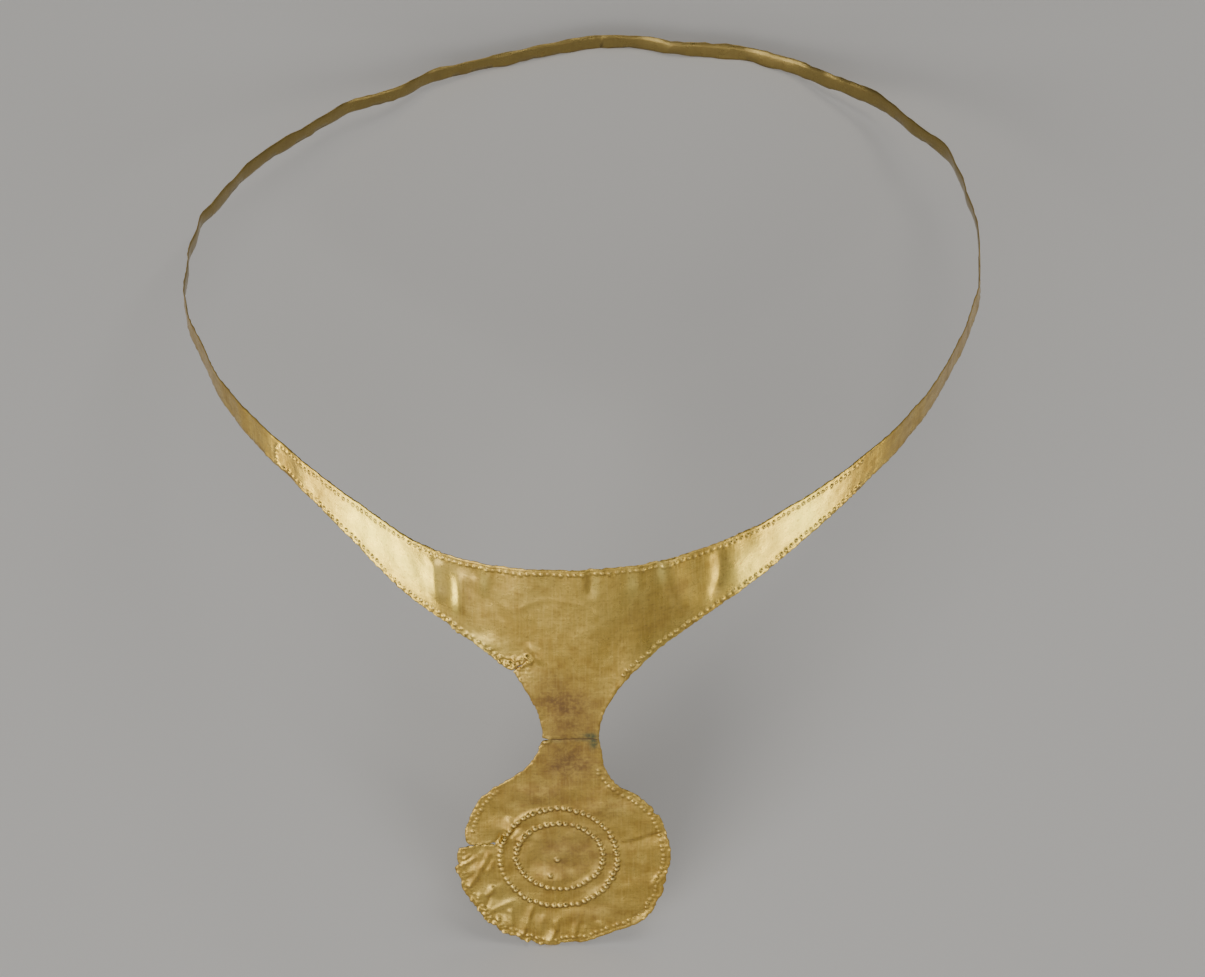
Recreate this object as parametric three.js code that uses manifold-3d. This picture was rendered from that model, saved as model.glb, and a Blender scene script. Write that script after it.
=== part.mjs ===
import * as THREE from 'three'
import Module from 'manifold-3d'

// Diadem beaten from one sheet of gold: a closed band that widens over the forehead into a plate,
// with a disc below the plate on a waisted neck. It lies as it rests when loose, on the lower rim
// of the disc and on the back of the band. Sizes are in mm.

// Ring that goes round the head
const RING_WIDTH = 174
const RING_DEPTH = 182
const SHEET = 0.3

// Band, from its narrow back to the arms beside the plate
const BAND_BACK = 3.9
const BAND_ARM = 7.7
const ARM_END = 68
const TAPER = 92

// Plate over the forehead, down to the neck
const PLATE_REACH = 75
const NECK_DROP = 44.5
const NECK_WIDTH = 11.5
const NECK_MID = -2.5

// Disc, hung below the neck
const NECK_LOWER = 12.6
const DISC_RADIUS = 22.6
const DISC_MID = -4.1
const FLARE = 4
const BEND_FROM = 18
const BEND_TO = 42

// Punched dots
const DOT_PITCH = 1.5
const DOT_RADIUS = 0.45
const DOT_RISE = 0.3
const DOT_SIDES = 5
const DOT_STRIP = 2.2
const ROW_LEFT = 80
const ROW_RIGHT = 70
const INNER_RING = { mid: -4.9, lift: 2.7, across: 9.2, down: 9.2, dotsPerCell: 2 }
const OUTER_RING = { mid: -5.1, lift: 2.2, across: 12.5, down: 13.7, dotsPerCell: 3 }
const RING_HALF = 0.8
const MIDDLE_DOTS = [[-5.4, -1.7], [-6.9, 2.5]]

// Damage: [edge end, tip] as [along, down] on the flat sheet, and the width at the edge
const SLIT = { mouth: [-28.2, 74.9], tip: [-18.4, 73.8], width: 0.6 }
const TEAR = { mouth: [-17.1, 28.1], tip: [-11.5, 24.7], width: 1 }
const CRACK = { mouth: [-10.2, 44.8], tip: [-7, 44.9], width: 0.5 }

// How the object lies
const BACK_SINK = 3.6
const SETTLING = 1.2

// Mesh
const CELL = 4.5
const BACK_STEP = 6.5
const ROW_HEIGHT = 7
const NECK_ROWS = 4
const RAYS = 20
const RIM_STEPS = 3
const FAN = 0.5
const WEDGE_REACH = 2

// Head edge seen from above, from the front's middle towards +x and round, as shares of half the
// width and depth, with the outward lean of the sheet in degrees. The worn oval isn't symmetric.
const HEAD_EDGE = [
  [0, -1, 4], [0.293, -0.922, 4], [0.567, -0.718, 4], [0.79, -0.461, -3],
  [0.917, -0.213, -3], [0.993, 0.076, 5], [0.971, 0.444, 6], [0.835, 0.7, 4],
  [0.572, 0.914, -1], [0.247, 0.986, 1], [0.014, 0.997, 5], [-0.297, 0.917, 9],
  [-0.515, 0.8, 9], [-0.733, 0.646, 8], [-0.921, 0.396, 4], [-1, 0.047, 1],
  [-0.914, -0.265, -3], [-0.782, -0.489, 0], [-0.547, -0.756, 4], [-0.308, -0.951, 4]
]

// Lower edge of the plate from the neck to its reach: shares of the way out and of the drop
const PLATE_EDGE = [
  [0, 1], [0.015, 0.83], [0.06, 0.65], [0.12, 0.495], [0.21, 0.37],
  [0.35, 0.25], [0.5, 0.17], [0.68, 0.085], [0.88, 0.015], [1, 0]
]

// Flanks from the neck to the disc: shares of the way out and down
const LEFT_FLANK = [[0, 0], [0.06, 0.15], [0.18, 0.38], [0.38, 0.62], [0.62, 0.8], [1, 1]]
const RIGHT_FLANK = [[0, 0], [0.05, 0.25], [0.13, 0.4], [0.25, 0.62], [0.5, 0.81], [1, 1]]

// Worn rim of the disc: degrees from straight up, towards +x, and shares of the radius
const DISC_RIM = [
  [36, 1.107], [50, 1.09], [53, 1.062], [56, 1.087], [66, 1.048], [81, 1.02], [97, 0.975],
  [108, 0.99], [118, 0.99], [125, 1.02], [137, 1.005], [154, 0.96], [169, 0.985], [179, 0.968],
  [184, 1.015], [196, 1.026], [206, 0.99], [211, 1.01], [227, 0.992], [250, 0.993], [269, 1.009],
  [282, 1], [287, 0.95], [291, 0.985], [300, 1.025], [312, 1.103], [324, 1.15]
]

const { degToRad, euclideanModulo, clamp, lerp, smoothstep } = THREE.MathUtils

const headEdge = new THREE.CatmullRomCurve3(
  HEAD_EDGE.map(([x, y]) => new THREE.Vector3(x * RING_WIDTH / 2, y * RING_DEPTH / 2, 0)),
  true, 'catmullrom', 0.5
)
headEdge.arcLengthDivisions = 1200
const leans = new THREE.CatmullRomCurve3(
  HEAD_EDGE.map(([, , lean]) => new THREE.Vector3(lean, 0, 0)), true, 'catmullrom', 0.5
)
const HEAD_LENGTH = headEdge.getLength()
const DISC_DROP = NECK_DROP + NECK_LOWER + DISC_RADIUS
const PENDANT = DISC_DROP + DISC_RADIUS * Math.max(
  ...DISC_RIM.map(([angle, share]) => -share * Math.cos(degToRad(angle)))
)

// Places on the flat sheet are (along, down): along is measured round the head edge from the
// front's middle, and down from that edge.
function spot(along, down, rise = 0) {
  return { along, down, rise }
}

function between(a, b, share) {
  return spot(lerp(a.along, b.along, share), lerp(a.down, b.down, share))
}

function gap(a, b) {
  return Math.hypot(a.along - b.along, a.down - b.down)
}

function bandWidth(along) {
  const fromFront = Math.abs(euclideanModulo(along + HEAD_LENGTH / 2, HEAD_LENGTH) - HEAD_LENGTH / 2)
  const taper = clamp((fromFront - ARM_END) / TAPER, 0, 1)
  return BAND_BACK + (BAND_ARM - BAND_BACK) * (0.5 + 0.5 * Math.cos(Math.PI * taper))
}

// Head edge and the direction in which the sheet falls from it
function ringAt(along) {
  const t = headEdge.getUtoTmapping(euclideanModulo(along / HEAD_LENGTH, 1))
  const tangent = headEdge.getTangent(t)
  const lean = degToRad(leans.getPoint(t).x)
  const fall = new THREE.Vector3(
    tangent.y * Math.sin(lean), -tangent.x * Math.sin(lean), -Math.cos(lean)
  )
  return { edge: headEdge.getPoint(t), fall }
}

// Flat pendant, which hangs from the front's middle
const front = ringAt(0).edge
const pendantFall = new THREE.Vector3(0, -Math.sin(degToRad(FLARE)), -Math.cos(degToRad(FLARE)))

// How far the sheet has turned from the round of the ring to the flat of the pendant
function flatShare(down) {
  return smoothstep(down, BEND_FROM, BEND_TO)
}

// The sheet as worn, with the ring level
function worn(along, down) {
  const { edge, fall } = ringAt(along)
  const onRing = edge.addScaledVector(fall, down)
  const onPendant = front.clone().addScaledVector(pendantFall, down)
  onPendant.x += along
  return onRing.lerp(onPendant, flatShare(down))
}

// Tilt that brings the disc's lowest point and the back of the band down to one level
function restTilt() {
  const toe = front.clone().addScaledVector(pendantFall, PENDANT)
  let heel = toe
  for (let along = 0; along < HEAD_LENGTH; along += 1) {
    const { edge, fall } = ringAt(along)
    const lower = edge.addScaledVector(fall, bandWidth(along))
    if (lower.y > heel.y) heel = lower
  }
  const span = new THREE.Vector2(heel.y - toe.y, heel.z - toe.z)
  const angle = span.angle() + Math.asin(BACK_SINK / span.length())
  return { angle, lift: toe.y * Math.sin(angle) - toe.z * Math.cos(angle) }
}
const tilt = restTilt()

function laid(point) {
  const { x, y, z } = point
  const sine = Math.sin(tilt.angle)
  const cosine = Math.cos(tilt.angle)
  return new THREE.Vector3(x, y * cosine + z * sine, z * cosine - y * sine + tilt.lift)
}

// How far the band is pushed up where it would sink into the surface it lies on
function settling(along) {
  const { edge, fall } = ringAt(along)
  const low = laid(edge.addScaledVector(fall, bandWidth(along))).z
  return 0.5 * (low + Math.hypot(low, SETTLING)) - low
}

function lying(along, down) {
  const point = laid(worn(along, down))
  point.z += settling(along) * (1 - flatShare(down))
  return point
}

// A point of the outer (side 1) or inner (side -1) face
function facePoint({ along, down, rise }, side, extra = 0) {
  const step = 0.05
  const across = lying(along + step, down).sub(lying(along - step, down))
  const fall = lying(along, down + step).sub(lying(along, down - step))
  const out = fall.cross(across).normalize()
  return lying(along, down).addScaledVector(out, side * (SHEET / 2 + extra) + rise)
}

// Triangles of the two faces, as triples of spots
const outerFace = []
const innerFace = []

function addTriangle(face, a, b, c) {
  const turn = (b.along - a.along) * (c.down - a.down) - (c.along - a.along) * (b.down - a.down)
  face.push(turn > 0 ? [a, c, b] : [a, b, c])
}

// Fills a patch of the sheet, with its dots raised on the outer face. Each dot is turned from the
// last, so that no three corners of a row lie on one line.
function fillPatch(corners, dots = []) {
  const flat = (places) => places.map(({ along, down }) => new THREE.Vector2(along, -down))
  const rings = dots.map(({ along, down }, dot) => Array.from({ length: DOT_SIDES }, (_, side) => {
    const turn = 2 * Math.PI * side / DOT_SIDES + dot
    return spot(along + DOT_RADIUS * Math.cos(turn), down + DOT_RADIUS * Math.sin(turn))
  }))
  const places = [...corners, ...rings.flat()]
  for (const triangle of THREE.ShapeUtils.triangulateShape(flat(corners), rings.map(flat))) {
    outerFace.push(triangle.map((index) => places[index]))
  }
  for (const triangle of THREE.ShapeUtils.triangulateShape(flat(corners), [])) {
    innerFace.push(triangle.map((index) => corners[index]))
  }
  rings.forEach((ring, index) => {
    const top = spot(dots[index].along, dots[index].down, DOT_RISE)
    ring.forEach((place, side) => addTriangle(outerFace, place, ring[(side + 1) % DOT_SIDES], top))
  })
}

// A row of dots along the middle of a four-sided cell, from the side a-d to the side b-c
function dotRow(a, b, c, d, count) {
  return Array.from({ length: count }, (_, index) => {
    const share = (index + 0.5) / count
    return between(between(a, b, share), between(d, c, share), 0.5)
  })
}

function dotCount(a, b) {
  return Math.max(1, Math.round(gap(a, b) / DOT_PITCH))
}

// Fills between two lines of spots that start and end side by side
function zip(left, right) {
  let i = 0
  let j = 0
  while (i < left.length - 1 || j < right.length - 1) {
    const canLeft = i < left.length - 1
    const canRight = j < right.length - 1
    const onLeft = canLeft && (!canRight || gap(left[i + 1], right[j]) <= gap(left[i], right[j + 1]))
    const next = onLeft ? left[i + 1] : right[j + 1]
    addTriangle(outerFace, left[i], right[j], next)
    addTriangle(innerFace, left[i], right[j], next)
    if (onLeft) i += 1
    else j += 1
  }
}

// Spots a dot strip's width inside an edge that runs from the right arm to the left one
function inset(edge, before, after) {
  return edge.map((place, index) => {
    const from = edge[index - 1] ?? before
    const to = edge[index + 1] ?? after
    const length = gap(from, to)
    return spot(
      place.along - DOT_STRIP * (to.down - from.down) / length,
      place.down + DOT_STRIP * (to.along - from.along) / length
    )
  })
}

function smoothEdge(points, count) {
  const curve = new THREE.SplineCurve(points.map(([along, down]) => new THREE.Vector2(along, down)))
  curve.arcLengthDivisions = 400
  const steps = count ?? Math.round(curve.getLength() / CELL)
  return curve.getSpacedPoints(steps).map(({ x, y }) => spot(x, y))
}

// Lower edge of the plate on one side (-1 left, 1 right), from the neck outwards
function plateEdge(side) {
  const start = side * NECK_MID + NECK_WIDTH / 2
  const points = PLATE_EDGE.map(([out, drop]) => {
    const along = side * lerp(start, PLATE_REACH, out)
    return [along, lerp(bandWidth(along), NECK_DROP, drop)]
  })
  return smoothEdge(points)
}

function rimRadius(degrees) {
  const last = DISC_RIM.findIndex(([angle]) => angle >= degrees - 1e-6)
  const [before, at] = [DISC_RIM[Math.max(last - 1, 0)], DISC_RIM[last]]
  if (before === at) return at[1] * DISC_RADIUS
  return DISC_RADIUS * lerp(before[1], at[1], (degrees - before[0]) / (at[0] - before[0]))
}

function onDisc(degrees, radius) {
  const turn = degToRad(degrees)
  return spot(DISC_MID + radius * Math.sin(turn), DISC_DROP - radius * Math.cos(turn))
}

function flank(points, top, foot) {
  const drawn = points.map(([out, drop]) => [
    lerp(top.along, foot.along, out), lerp(top.down, foot.down, drop)
  ])
  return smoothEdge(drawn, NECK_ROWS)
}

// Columns of the plate and arms on one side, each from the head edge to the lower edge
function sideColumns(side, lower, inner) {
  const start = Math.abs(lower[0].along)
  const rowEnd = side < 0 ? ROW_LEFT : ROW_RIGHT
  const columns = lower.map((place, index) => {
    const even = lerp(start, PLATE_REACH, index / (lower.length - 1))
    const along = side * lerp(Math.abs(place.along), even, FAN)
    return { top: spot(along, 0), inner: inner[index], lower: place }
  })
  for (let out = PLATE_REACH + CELL; out < rowEnd; out += CELL) {
    const width = bandWidth(out)
    columns.push({
      top: spot(side * out, 0),
      inner: spot(side * out, width - DOT_STRIP),
      lower: spot(side * out, width)
    })
  }
  return columns.filter(({ top }, index) => index < 2 || Math.abs(top.along) < rowEnd)
}

// The spots of a column between its two dot strips
function middleSpots({ top, inner }) {
  const under = spot(top.along, DOT_STRIP)
  const rows = Math.max(1, Math.round(gap(under, inner) / ROW_HEIGHT))
  return Array.from({ length: rows + 1 }, (_, row) => between(under, inner, row / rows))
}

function stripCell(a, b, c, d, rim = []) {
  fillPatch([a, ...rim, b, c, d], dotRow(a, b, c, d, dotCount(a, b)))
}

// Neck corners and the disc's rim spots at its rays
const rays = Array.from({ length: RAYS }, (_, ray) => 360 * ray / RAYS)
const isRim = (degrees) => degrees >= DISC_RIM[0][0] && degrees <= DISC_RIM.at(-1)[0]
const rimSpots = rays.map((degrees) => isRim(degrees) && onDisc(degrees, rimRadius(degrees)))
const firstRim = rimSpots.findIndex(Boolean)
const lastRim = rimSpots.findLastIndex(Boolean)

const leftEdge = plateEdge(-1)
const rightEdge = plateEdge(1)
const leftFlank = flank(LEFT_FLANK, leftEdge[0], rimSpots[lastRim])
const rightFlank = flank(RIGHT_FLANK, rightEdge[0], rimSpots[firstRim])
leftFlank[0] = leftEdge[0]
rightFlank[0] = rightEdge[0]
leftFlank[NECK_ROWS] = rimSpots[lastRim]
rightFlank[NECK_ROWS] = rimSpots[firstRim]

// The whole lower edge in one line, from the right arm round the disc to the left arm, and the
// line a dot strip's width inside it
const rimLine = rimSpots.slice(firstRim, lastRim + 1)
const lowerLine = [
  ...rightEdge.slice(1).reverse(), ...rightFlank.slice(0, -1), ...rimLine,
  ...leftFlank.slice(0, -1).reverse(), ...leftEdge.slice(1)
]
const innerLine = inset(
  lowerLine,
  spot(PLATE_REACH + CELL, bandWidth(PLATE_REACH + CELL)),
  spot(-PLATE_REACH - CELL, bandWidth(-PLATE_REACH - CELL))
)
const innerOf = (place) => innerLine[lowerLine.indexOf(place)]

// Plate and arms
const NECK_COLUMNS = RAYS - rimLine.length + 1
const leftColumns = sideColumns(-1, leftEdge, leftEdge.map(innerOf))
const rightColumns = sideColumns(1, rightEdge, rightEdge.map(innerOf))
const neckTop = Array.from({ length: NECK_COLUMNS + 1 }, (_, column) => (
  between(innerOf(leftEdge[0]), innerOf(rightEdge[0]), column / NECK_COLUMNS)
))
neckTop[0] = innerOf(leftEdge[0])
neckTop[NECK_COLUMNS] = innerOf(rightEdge[0])
const neckColumns = neckTop.slice(1, -1).map((place, index) => ({
  top: between(leftColumns[0].top, rightColumns[0].top, (index + 1) / NECK_COLUMNS),
  inner: place
}))
const dottedColumns = [...leftColumns.toReversed(), ...neckColumns, ...rightColumns]
for (const column of dottedColumns) column.middle = middleSpots(column)

function joinColumns(left, right) {
  stripCell(left.top, right.top, right.middle[0], left.middle[0])
  zip(left.middle, right.middle)
  if (left.lower && right.lower) stripCell(left.lower, right.lower, right.inner, left.inner)
}
for (let index = 1; index < dottedColumns.length; index += 1) {
  joinColumns(dottedColumns[index - 1], dottedColumns[index])
}

// Plain band round the back
const wholeColumn = ({ top, middle, lower }) => [top, ...middle, lower]
const backStart = rightColumns.at(-1)
const backEnd = leftColumns.at(-1)
const backLength = HEAD_LENGTH - backStart.top.along + backEnd.top.along
const backCells = Math.round(backLength / BACK_STEP)
let backColumn = wholeColumn(backStart)
for (let cell = 1; cell < backCells; cell += 1) {
  const along = backStart.top.along + backLength * cell / backCells
  const next = [spot(along, 0), spot(along, bandWidth(along))]
  zip(backColumn, next)
  backColumn = next
}
zip(backColumn, wholeColumn(backEnd).map(({ along, down }) => spot(along + HEAD_LENGTH, down)))

// Dot strips down the flanks and round the disc
for (const edge of [rightFlank, leftFlank]) {
  for (let row = 1; row <= NECK_ROWS; row += 1) {
    const [upper, foot] = [edge[row - 1], edge[row]]
    stripCell(upper, foot, innerOf(foot), innerOf(upper))
  }
}
for (let ray = firstRim; ray < lastRim; ray += 1) {
  const steps = Array.from({ length: RIM_STEPS - 1 }, (_, step) => {
    const degrees = lerp(rays[ray], rays[ray + 1], (step + 1) / RIM_STEPS)
    return onDisc(degrees, rimRadius(degrees))
  })
  const [from, to] = [rimSpots[ray], rimSpots[ray + 1]]
  stripCell(from, to, innerOf(to), innerOf(from), steps)
}

// Loops of the disc, from the rim's inner line to the small dotted ring
function ellipse({ mid, lift, across, down }, offset) {
  return rays.map((degrees) => spot(
    mid + (across + offset) * Math.sin(degToRad(degrees)),
    DISC_DROP - lift - (down + offset) * Math.cos(degToRad(degrees))
  ))
}
const discEdge = rays.map((degrees, ray) => (
  rimSpots[ray] ? innerOf(rimSpots[ray]) : onDisc(degrees, DISC_RADIUS - DOT_STRIP)
))

function fillLoops(outside, inside, dotsPerCell) {
  outside.forEach((from, ray) => {
    const next = (ray + 1) % RAYS
    const cell = [from, outside[next], inside[next], inside[ray]]
    fillPatch(cell, dotRow(...cell, dotsPerCell))
  })
}
const outerLoops = [RING_HALF, -RING_HALF].map((offset) => ellipse(OUTER_RING, offset))
const innerLoops = [RING_HALF, -RING_HALF].map((offset) => ellipse(INNER_RING, offset))
fillLoops(discEdge, outerLoops[0], 0)
fillLoops(...outerLoops, OUTER_RING.dotsPerCell)
fillLoops(outerLoops[1], innerLoops[0], 0)
fillLoops(...innerLoops, INNER_RING.dotsPerCell)
fillPatch(innerLoops[1], MIDDLE_DOTS.map(([along, down]) => spot(along, DISC_DROP + down)))

// Neck, in rows from the plate to the disc
const discTop = [...discEdge.slice(lastRim + 1), ...discEdge.slice(0, firstRim)]
let neckRow = neckTop
for (let row = 1; row < NECK_ROWS; row += 1) {
  const [left, right] = [innerOf(leftFlank[row]), innerOf(rightFlank[row])]
  const next = neckTop.map((_, column) => between(left, right, column / NECK_COLUMNS))
  zip(neckRow, next)
  neckRow = next
}
zip(neckRow, [discEdge[lastRim], ...discTop, discEdge[firstRim]])

// Joins equal points, so that the two faces and the rim between them close
const points = []
const pointIndex = new Map()

function indexOf(place, side) {
  const point = facePoint(place, side)
  const key = point.toArray().map((value) => Math.round(value * 1e4)).join()
  if (!pointIndex.has(key)) pointIndex.set(key, points.push(point) - 1)
  return pointIndex.get(key)
}

function sheetMesh() {
  const triangles = outerFace.map((corners) => corners.map((place) => indexOf(place, 1)))
  const edges = new Map()
  for (const corners of innerFace) {
    corners.forEach((from, index) => {
      const to = corners[(index + 1) % 3]
      const [start, end] = [indexOf(from, -1), indexOf(to, -1)]
      if (!edges.delete(`${end} ${start}`)) edges.set(`${start} ${end}`, [from, to])
    })
    triangles.push(corners.toReversed().map((place) => indexOf(place, -1)))
  }
  for (const [from, to] of edges.values()) {
    const [a, b] = [indexOf(from, 1), indexOf(to, 1)]
    const [c, d] = [indexOf(to, -1), indexOf(from, -1)]
    triangles.push([b, a, d], [b, d, c])
  }
  return triangles.flat()
}

// Torn places are cut out as wedges through the sheet
const wasm = await Module()
wasm.setup()

function solid(vertices, triangles) {
  return new wasm.Manifold(new wasm.Mesh({
    numProp: 3,
    vertProperties: new Float32Array(vertices.flatMap((point) => point.toArray())),
    triVerts: new Uint32Array(triangles)
  }))
}

function wedge({ mouth, tip, width }) {
  const [start, end] = [spot(...mouth), spot(...tip)]
  const length = gap(start, end)
  const corners = [1, -1].map((way) => spot(
    start.along + way * (end.down - start.down) * width / length / 2,
    start.down - way * (end.along - start.along) * width / length / 2
  ))
  corners.push(end)
  const vertices = [1, -1].flatMap((side) => (
    corners.map((place) => facePoint(place, side, WEDGE_REACH))
  ))
  return solid(vertices, [
    0, 1, 2, 3, 5, 4, 1, 0, 3, 1, 3, 4, 2, 1, 4, 2, 4, 5, 0, 2, 5, 0, 5, 3
  ])
}

const whole = solid(points, sheetMesh())
const torn = [SLIT, TEAR, CRACK].reduce((body, cut) => body.subtract(wedge(cut)), whole)

const { vertProperties, triVerts } = torn.getMesh()
const geometry = new THREE.BufferGeometry()
geometry.setAttribute('position', new THREE.BufferAttribute(vertProperties, 3))
geometry.setIndex(new THREE.BufferAttribute(triVerts, 1))
geometry.computeBoundingBox()

const gold = new THREE.MeshStandardMaterial({ color: 0xb8923f, roughness: 0.35, metalness: 1 })
const diadem = new THREE.Mesh(geometry, gold)
diadem.name = 'diadem'
const middle = geometry.boundingBox.getCenter(new THREE.Vector3())
diadem.position.set(-middle.x, -middle.y, -geometry.boundingBox.min.z)

const object = new THREE.Group()
object.add(diadem)
export default object
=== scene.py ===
import math

import bpy
import numpy as np
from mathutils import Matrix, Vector
from mathutils.geometry import delaunay_2d_cdt


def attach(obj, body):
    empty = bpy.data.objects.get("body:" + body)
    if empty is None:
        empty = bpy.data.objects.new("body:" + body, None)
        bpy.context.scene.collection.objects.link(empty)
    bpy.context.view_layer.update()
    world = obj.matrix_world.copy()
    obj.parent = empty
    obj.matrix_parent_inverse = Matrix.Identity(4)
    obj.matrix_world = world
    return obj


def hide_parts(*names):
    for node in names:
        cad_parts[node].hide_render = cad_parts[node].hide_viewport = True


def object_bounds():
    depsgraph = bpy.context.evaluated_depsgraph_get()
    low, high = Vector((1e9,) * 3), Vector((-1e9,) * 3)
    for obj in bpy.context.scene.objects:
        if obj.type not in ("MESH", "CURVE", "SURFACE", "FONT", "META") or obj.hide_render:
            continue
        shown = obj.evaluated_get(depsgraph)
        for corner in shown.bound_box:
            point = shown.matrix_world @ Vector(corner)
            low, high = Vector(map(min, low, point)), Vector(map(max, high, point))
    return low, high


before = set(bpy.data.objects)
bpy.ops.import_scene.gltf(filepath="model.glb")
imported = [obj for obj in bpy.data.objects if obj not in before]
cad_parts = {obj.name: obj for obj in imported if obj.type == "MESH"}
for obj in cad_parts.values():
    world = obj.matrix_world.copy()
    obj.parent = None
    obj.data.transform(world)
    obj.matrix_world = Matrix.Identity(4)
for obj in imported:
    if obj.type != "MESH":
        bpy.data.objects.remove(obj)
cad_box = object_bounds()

MM = 0.001

# The sheet as in the solid model: a head edge seen from above, with the outward lean of the sheet,
# and the flat pendant that hangs from the front's middle. Sizes are in mm.
RING_WIDTH, RING_DEPTH = 174, 182
SHEET = 0.3
BAND_BACK, BAND_ARM, ARM_END, TAPER = 3.9, 7.7, 68, 92
PLATE_REACH, DISC_DROP = 75, 79.7
DISC_RADIUS, TOE_SHARE, TOE_TURN = 22.6, 1.015, 4
PENDANT = DISC_DROP + DISC_RADIUS * TOE_SHARE * math.cos(math.radians(TOE_TURN))
FLARE, BEND_FROM, BEND_TO = 4, 18, 42
BACK_SINK, SETTLING = 3.6, 1.2
HEAD_EDGE = np.array([
    [0, -1, 4], [0.293, -0.922, 4], [0.567, -0.718, 4], [0.79, -0.461, -3],
    [0.917, -0.213, -3], [0.993, 0.076, 5], [0.971, 0.444, 6], [0.835, 0.7, 4],
    [0.572, 0.914, -1], [0.247, 0.986, 1], [0.014, 0.997, 5], [-0.297, 0.917, 9],
    [-0.515, 0.8, 9], [-0.733, 0.646, 8], [-0.921, 0.396, 4], [-1, 0.047, 1],
    [-0.914, -0.265, -3], [-0.782, -0.489, 0], [-0.547, -0.756, 4], [-0.308, -0.951, 4],
]) * [RING_WIDTH / 2, RING_DEPTH / 2, math.pi / 180]

# Where the solid's footprint puts the sheet, and how far the sheet's middle keeps from its box
PLACE = np.array([-0.0899391, 27.3822441, 0.0562497])
WALL, FLOOR_GAP = SHEET / 2 + 0.02, 0.02

# The faces' distance and the rim's thinning, as shares of the thickness, and the rim's roundness
FACE_SHARE, RIM_THINNING = 0.92, 0.12
RIM_BULGE, RIM_TUCK = 0.07, 0.02

# Spacing of the points along the edges, which is coarse beyond ARM_FAR, and steps within a curve
FINE, PLAIN, COARSE, TOP_PITCH, LIP_PITCH, LEAST_STEP = 0.4, 0.9, 1.6, 0.5, 0.3, 0.04
ARM_FAR, SPAN_STEPS, RING_STEPS = 150, 40, 1201

# Spacing of the points inside, and how far they keep from the edges and the dots
DISC_GRID, PLATE_GRID, FINE_GRID, ARM_GRID, BACK_GRID = 0.37, 0.58, 0.3, 1.0, 1.3
DISC_FROM, BACK_FROM, SEAM_CLEARANCE = 57, 160, 0.5
DISC_BOX = (-30, 21, DISC_FROM, 104)
ARM_DEPTH, BACK_DEPTH = 9, 5
ARM_CLEARANCE, FRONT_CLEARANCE, DOT_CLEARANCE, RING_CLEARANCE = 0.45, 0.24, 0.16, 0.12

# Rows of dots: where they end on the arms, their distance from an edge and from each other
ROW_LEFT, ROW_RIGHT = 80, 70
BORDER_ROW, RIM_ROW = 1.2, 1.5
DOT_SPACING, DOT_MARGIN, NEIGHBOURS = 0.88, 0.4, 300

# Edges of the sheet as (along, down): right arm to the disc, round it, and back to the left arm
RIGHT_EDGE = [
    [75, 7.7], [64, 8.7], [52.5, 10.6], [45, 12.15], [40, 13.35], [35, 14.65], [30, 16.2], [25, 18],
    [20, 20.35], [15, 23.3], [12, 25.9], [9, 29.2], [7.3, 31.7], [6, 34], [4.6, 37.2], [3.7, 40.8],
    [3.4, 43.6], [3.5, 45.2], [4, 48.3], [4.5, 52], [5.25, 54], [6.5, 56.25], [8.5, 58.25],
    [11, 59.75], [13, 61.75], [14.85, 64], [14.95, 65.1],
]
RIGHT_RIM = [
    [15.1, 65.2], [16, 65.5], [16.75, 67.5], [17.5, 70], [18.25, 73], [18.65, 76], [18.6, 79],
    [17.75, 82.5], [17.6, 84.5], [17.1, 85.35],
]
LOWER_RIM = [
    [17.3, 86.4], [16.5, 88.75], [15.6, 90.25], [15.25, 92], [14, 94], [11.5, 96.25], [8, 98],
    [5.25, 99.25], [2.5, 100.5], [0, 101.6], [-3, 101.5], [-4.1, 101.5], [-5.05, 101.8],
    [-5.4, 102.4], [-7, 102.5], [-9.25, 102.3], [-10.1, 101.9], [-10.9, 101.4], [-12.5, 101.2],
    [-13.4, 100.8], [-13.9, 99.9], [-14.6, 99.5], [-15.9, 99.4], [-16.9, 98.9], [-18.1, 97.8],
    [-18.7, 97], [-20, 96.1], [-20.9, 94.9], [-21.9, 93.4], [-22.8, 91.6], [-24, 89.9],
    [-24.4, 88.8], [-25.2, 87.5], [-25.7, 86.1], [-25.9, 84], [-26.4, 82.3], [-26.9, 81.7],
    [-27, 80.3], [-26.4, 79.3], [-26.6, 78.3], [-26.7, 77], [-26.5, 75.8], [-26.2, 74.8],
]
LOWER_LIP = [
    [-25, 74.5], [-24.2, 74.2], [-22.5, 73.98], [-20.5, 73.8], [-18.95, 73.75], [-18.7, 74.05],
]
UPPER_LIP = [
    [-18.35, 73.4], [-18.75, 73.4], [-19.7, 73.48], [-21, 73.56], [-22.8, 73.7], [-24, 73.7],
]
LEFT_RIM = [
    [-24.6, 72.9], [-24.9, 72], [-24.8, 70.3], [-24.67, 69], [-24.4, 68.2], [-23.97, 66.8],
    [-23.63, 65.7], [-23.17, 64.5], [-22.67, 63.3], [-22.2, 62], [-20.75, 60.25], [-18.25, 57.75],
    [-15, 55.3], [-13.2, 53.85], [-11.5, 52.2], [-10.1, 49.9], [-9, 47.2], [-8.55, 45.7],
    [-8.2, 45.05],
]
CRACK = [[-7.6, 44.95], [-6.8, 44.8], [-7.6, 44.55]]
NECK_LEFT = [
    [-8.35, 44.35], [-8.3, 43.6], [-8.6, 40.4], [-9.4, 36.9], [-10.4, 34.4], [-11.9, 31.1],
    [-13.3, 28.3], [-14, 27],
]
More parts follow.
